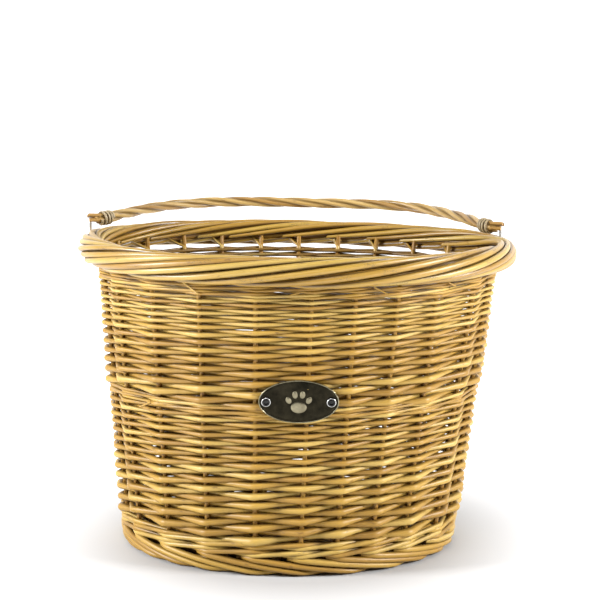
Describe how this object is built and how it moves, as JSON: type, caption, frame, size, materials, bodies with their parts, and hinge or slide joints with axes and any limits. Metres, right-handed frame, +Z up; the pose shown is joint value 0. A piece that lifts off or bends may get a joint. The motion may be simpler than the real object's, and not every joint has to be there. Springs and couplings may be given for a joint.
{
  "type": "wicker pet basket",
  "caption": "Oval hand-woven willow basket with tapering sides, a twisted rope border, a swing handle on wire hinges and an oval metal plate on the front.",
  "frame": {"origin": "on the floor, at the centre of the whole basket's outline seen from above, with the handle folded back", "axes": "+Z up; +X to the basket's right as seen from the front; -Y is the front, where the plate is; the handle folds back towards +Y"},
  "size_m": [0.4398, 0.3706, 0.3322],
  "materials": {
    "willow_siding": "natural buff willow, satin, honey coloured",
    "willow_stake": "natural buff willow, satin",
    "willow_border": "natural buff willow, satin, slightly darker with grey specks",
    "willow_base": "natural buff willow, matt",
    "willow_handle": "natural buff willow, twisted, satin",
    "split_willow": "split willow skein, satin",
    "hinge_steel": "galvanised wire",
    "plate_metal": "darkened antique metal with a brighter edge",
    "rivet_metal": "bright nickel plate"
  },
  "bodies": {
    "basket": {"stake_01": "willow_stake", "stake_02": "willow_stake", "stake_03": "willow_stake", "stake_04": "willow_stake", "stake_05": "willow_stake", "stake_06": "willow_stake", "stake_07": "willow_stake", "stake_08": "willow_stake", "stake_09": "willow_stake", "stake_10": "willow_stake", "stake_11": "willow_stake", "stake_12": "willow_stake", "stake_13": "willow_stake", "stake_14": "willow_stake", "stake_15": "willow_stake", "stake_16": "willow_stake", "stake_17": "willow_stake", "stake_18": "willow_stake", "stake_19": "willow_stake", "stake_20": "willow_stake", "stake_21": "willow_stake", "stake_22": "willow_stake", "stake_23": "willow_stake", "stake_24": "willow_stake", "cross_stick_1": "willow_base", "cross_stick_2": "willow_base", "cross_stick_3": "willow_base", "cross_stick_4": "willow_base", "cross_stick_5": "willow_base", "cross_stick_6": "willow_base", "cross_stick_7": "willow_base", "long_stick_1": "willow_base", "long_stick_2": "willow_base", "long_stick_3": "willow_base", "base_weave": "willow_base", "foot_border": "willow_border", "base_wale": "willow_border", "rope_border": "willow_border", "lower_siding": "willow_siding", "upper_siding": "willow_siding", "top_wale": "willow_siding", "hinge_wire_left": "hinge_steel", "hinge_wire_right": "hinge_steel", "name_plate": "plate_metal", "rivet_left": "rivet_metal", "rivet_right": "rivet_metal", "washer_left": "rivet_metal", "washer_right": "rivet_metal"},
    "handle": {"handle_bow": "willow_handle", "handle_binding_left": "split_willow", "handle_binding_right": "split_willow"}
  },
  "joints": [
    {"name": "handle_swing", "type": "hinge", "parent": "basket", "child": "handle", "pos_m": [-0.006, 0.02755, 0.32057], "axis": [0.9999, 0, -0.012], "range_deg": [0, 176]}
  ]
}
